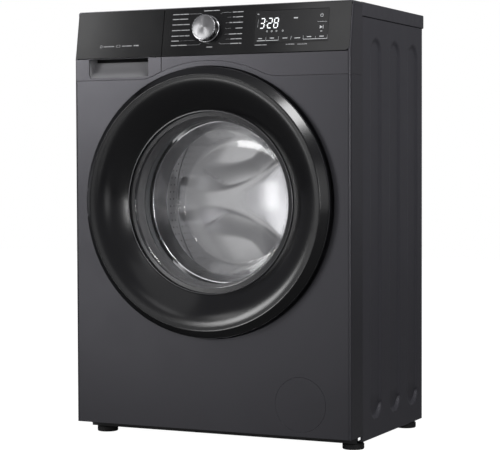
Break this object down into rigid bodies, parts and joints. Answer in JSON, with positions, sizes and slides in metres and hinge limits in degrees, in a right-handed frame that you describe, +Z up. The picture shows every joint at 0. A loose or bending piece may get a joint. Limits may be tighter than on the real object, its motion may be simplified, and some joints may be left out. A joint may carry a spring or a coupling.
{
  "type": "front load washing machine",
  "caption": "Slim front-loading washing machine with a wide dark door ring, deep glass bowl, black leaning console, detergent drawer and round program knob.",
  "frame": {"origin": "on the floor under the centre of the machine's box", "axes": "+Z up, +X to the right as seen from the front, -Y out of the front"},
  "size_m": [0.595, 0.44, 0.85],
  "materials": {
    "cabinet_paint": "satin",
    "worktop": "satin",
    "fascia_grey": "satin",
    "console_black": "gloss",
    "display": "gloss",
    "ring_black": "gloss",
    "knob_metal": "satin",
    "door_bowl": "gloss",
    "black_plastic": "satin",
    "white_plastic": "satin",
    "tub_plastic": "satin",
    "circuit": "satin",
    "zinc_steel": "satin",
    "bright_steel": "polished",
    "spring_steel": "satin",
    "cast_aluminium": "satin",
    "grey_rubber": "matte",
    "black_rubber": "matte",
    "concrete": "matte"
  },
  "bodies": {
    "cabinet": {"left_side_panel": "cabinet_paint", "right_side_panel": "cabinet_paint", "front_panel": "cabinet_paint", "fascia": "fascia_grey", "console_face": "console_black", "display_glass": "display", "control_board": "circuit", "top_panel": "worktop", "rear_panel": "zinc_steel", "rear_cover": "zinc_steel", "transit_plugs": "black_plastic", "panel_screws": "spring_steel", "base_frame": "zinc_steel", "top_brace": "zinc_steel", "drawer_housing": "black_plastic", "inlet_valve": "white_plastic", "inlet_hose": "black_rubber", "cord_gland": "black_plastic", "pressure_switch": "black_plastic", "damper_cylinders": "spring_steel", "pump_housing": "white_plastic", "drain_hose": "black_rubber", "door_hinge": "zinc_steel", "door_lock": "black_plastic", "door_gasket": "grey_rubber", "gasket_front_clamp": "zinc_steel"},
    "tub": {"tub_front": "tub_plastic", "tub_rear": "tub_plastic", "gasket_rear_clamp": "zinc_steel", "front_weight": "concrete", "upper_weight": "concrete", "heater": "bright_steel", "ball_bearings": "bright_steel", "motor_body": "cast_aluminium", "drive_belt": "black_rubber", "damper_rods": "bright_steel", "suspension_springs": "spring_steel", "tub_bolts": "spring_steel", "sump_hose": "black_rubber"},
    "drum": {"drum_shell": "bright_steel", "drum_back": "bright_steel", "drum_lifters": "tub_plastic", "drum_spider": "cast_aluminium", "drum_pulley": "cast_aluminium"},
    "rotor": {"motor_pulley": "bright_steel"},
    "door": {"door_outer_ring": "ring_black", "door_inner_frame": "black_plastic", "hinge_pin": "bright_steel", "door_glass": "door_bowl"},
    "latch": {"latch_hook": "bright_steel"},
    "drawer": {"drawer_front": "console_black", "drawer_grip": "fascia_grey", "drawer_tray": "white_plastic"},
    "knob": {"program_knob": "knob_metal"},
    "foot_fl": {"foot_front_left": "black_rubber"},
    "foot_fr": {"foot_front_right": "black_rubber"},
    "foot_rl": {"foot_rear_left": "black_rubber"},
    "foot_rr": {"foot_rear_right": "black_rubber"},
    "filter": {"pump_filter": "black_plastic"},
    "filter_flap": {"filter_cover": "fascia_grey"}
  },
  "joints": [
    {"name": "tub_float", "type": "slide", "parent": "cabinet", "child": "tub", "axis": [0, 0, 1], "range_m": [-0.008, 0.008], "stiffness_N_per_m": 7000, "springref_m": 0.0393, "deforming": ["suspension_springs", "sump_hose", "door_gasket"]},
    {"name": "drum_spin", "type": "hinge", "parent": "tub", "child": "drum", "pos_m": [0, 0, 0.4705], "axis": [0, 1, 0], "continuous": true},
    {"name": "motor_spin", "type": "hinge", "parent": "tub", "child": "rotor", "pos_m": [0.11, 0, 0.15], "axis": [0, 1, 0], "continuous": true},
    {"name": "door_swing", "type": "hinge", "parent": "cabinet", "child": "door", "pos_m": [-0.249, -0.2, 0.4705], "axis": [0, 0, -1], "range_deg": [0, 120]},
    {"name": "latch_spring", "type": "hinge", "parent": "door", "child": "latch", "pos_m": [0.232, -0.196, 0.4705], "axis": [0, 0, 1], "range_deg": [-8, 0], "stiffness_Nm_per_rad": 0.5, "springref_deg": 5.73},
    {"name": "drawer_slide", "type": "slide", "parent": "cabinet", "child": "drawer", "axis": [0, -1, 0], "range_m": [0, 0.15]},
    {"name": "knob_turn", "type": "hinge", "parent": "cabinet", "child": "knob", "pos_m": [-0.004, -0.18141, 0.806], "axis": [0, -0.9861, 0.1661], "continuous": true},
    {"name": "filter_turn", "type": "hinge", "parent": "cabinet", "child": "filter", "pos_m": [0.194, -0.15, 0.089], "axis": [0, -1, 0], "range_deg": [0, 90]},
    {"name": "flap_hinge", "type": "hinge", "parent": "cabinet", "child": "filter_flap", "pos_m": [0.194, -0.1905, 0.039], "axis": [1, 0, 0], "range_deg": [0, 100]},
    {"name": "foot_turn_fl", "type": "hinge", "parent": "cabinet", "child": "foot_fl", "pos_m": [-0.271, -0.113, 0], "axis": [0, 0, 1], "continuous": true},
    {"name": "foot_turn_fr", "type": "hinge", "parent": "cabinet", "child": "foot_fr", "pos_m": [0.271, -0.113, 0], "axis": [0, 0, 1], "continuous": true},
    {"name": "foot_turn_rl", "type": "hinge", "parent": "cabinet", "child": "foot_rl", "pos_m": [-0.271, 0.177, 0], "axis": [0, 0, 1], "continuous": true},
    {"name": "foot_turn_rr", "type": "hinge", "parent": "cabinet", "child": "foot_rr", "pos_m": [0.271, 0.177, 0], "axis": [0, 0, 1], "continuous": true}
  ],
  "couplings": [
    {"joint": "motor_spin", "follows": "drum_spin", "ratio": 13}
  ]
}
